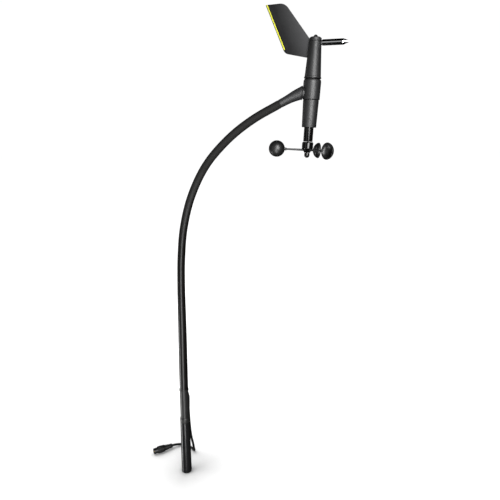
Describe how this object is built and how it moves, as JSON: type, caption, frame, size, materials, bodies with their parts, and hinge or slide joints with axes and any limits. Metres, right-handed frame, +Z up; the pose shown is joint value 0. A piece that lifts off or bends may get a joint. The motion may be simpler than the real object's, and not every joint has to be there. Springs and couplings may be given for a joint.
{
  "type": "cup anemometer with wind vane",
  "caption": "Masthead wind sensor: a cup rotor below and a vane above a slim leaning head, on a curved tapered spar with a plug-in spigot and a short loose lead.",
  "frame": {"origin": "centre of the spigot's flat bottom face", "axes": "+Z up along the spigot, +X from the spar towards the sensor head, +Y towards the side that the loose cable lies on"},
  "size_m": [0.3623, 0.1378, 0.8682],
  "materials": {
    "housing_grey": "satin moulded plastic",
    "blade_grey": "fine moulded texture with a yellow stripe along the trailing edge",
    "sleeve_grey": "matte moulded plastic",
    "spar_black": "smooth dark composite tube",
    "gloss_black": "gloss",
    "cup_black": "semi-gloss",
    "arm_grey": "satin",
    "anodised_black": "gloss black anodised",
    "polished_steel": "polished",
    "steel": "ground",
    "seal_black": "matte",
    "cable_black": "smooth jacket",
    "plug_black": "moulded",
    "chip_black": "moulded",
    "board_green": "solder mask",
    "magnet_grey": "plated",
    "pin_brass": "plated"
  },
  "bodies": {
    "mast_arm": {"spigot": "anodised_black", "spigot_collar": "sleeve_grey", "base_sleeve": "sleeve_grey", "cable_gland": "cable_black", "spar_tube": "spar_black", "neck_moulding": "housing_grey", "inner_cable": "cable_black", "signal_cable": "cable_black", "neck_seal": "seal_black", "lower_housing": "housing_grey", "housing_seal": "seal_black", "middle_housing": "housing_grey", "rotor_bearing_tube": "gloss_black", "rotor_bearing_lower": "steel", "rotor_bearing_upper": "steel", "rotor_sensor_chip": "chip_black", "rotor_sensor_board": "board_green", "board_header": "chip_black", "vane_sensor_board": "board_green", "vane_sensor_chip": "chip_black", "vane_bearing_post": "housing_grey", "vane_bearing_lower": "steel", "vane_bearing_upper": "steel", "plug_grip": "plug_black", "plug_insert": "chip_black", "plug_pin_1": "pin_brass", "plug_pin_2": "pin_brass", "plug_pin_3": "pin_brass", "plug_pin_4": "pin_brass", "plug_pin_5": "pin_brass"},
    "cup_rotor": {"rotor_hub": "gloss_black", "rotor_tip_nut": "gloss_black", "rotor_shaft": "steel", "rotor_magnet_holder": "chip_black", "rotor_magnet": "magnet_grey", "cup_arm_1": "arm_grey", "cup_arm_2": "arm_grey", "cup_arm_3": "arm_grey", "cup_1": "cup_black", "cup_2": "cup_black", "cup_3": "cup_black"},
    "vane_assembly": {"vane_body": "housing_grey", "vane_cap": "housing_grey", "vane_cap_nut": "gloss_black", "vane_blade": "blade_grey", "vane_counterweight": "polished_steel", "vane_spindle": "steel", "vane_magnet_holder": "chip_black", "vane_magnet": "magnet_grey"},
    "plug_nut": {"plug_coupling_nut": "plug_black"}
  },
  "joints": [
    {"name": "rotor_spin", "type": "hinge", "parent": "mast_arm", "child": "cup_rotor", "pos_m": [0.2251, 0, 0.6311], "axis": [0.0488, 0, 0.9988], "continuous": true},
    {"name": "vane_swing", "type": "hinge", "parent": "mast_arm", "child": "vane_assembly", "pos_m": [0.2251, 0, 0.6311], "axis": [0.0488, 0, 0.9988], "continuous": true},
    {"name": "plug_nut_turn", "type": "hinge", "parent": "mast_arm", "child": "plug_nut", "pos_m": [-0.0405, 0.068, 0.0075], "axis": [-0.8746, -0.4848, 0], "continuous": true}
  ]
}
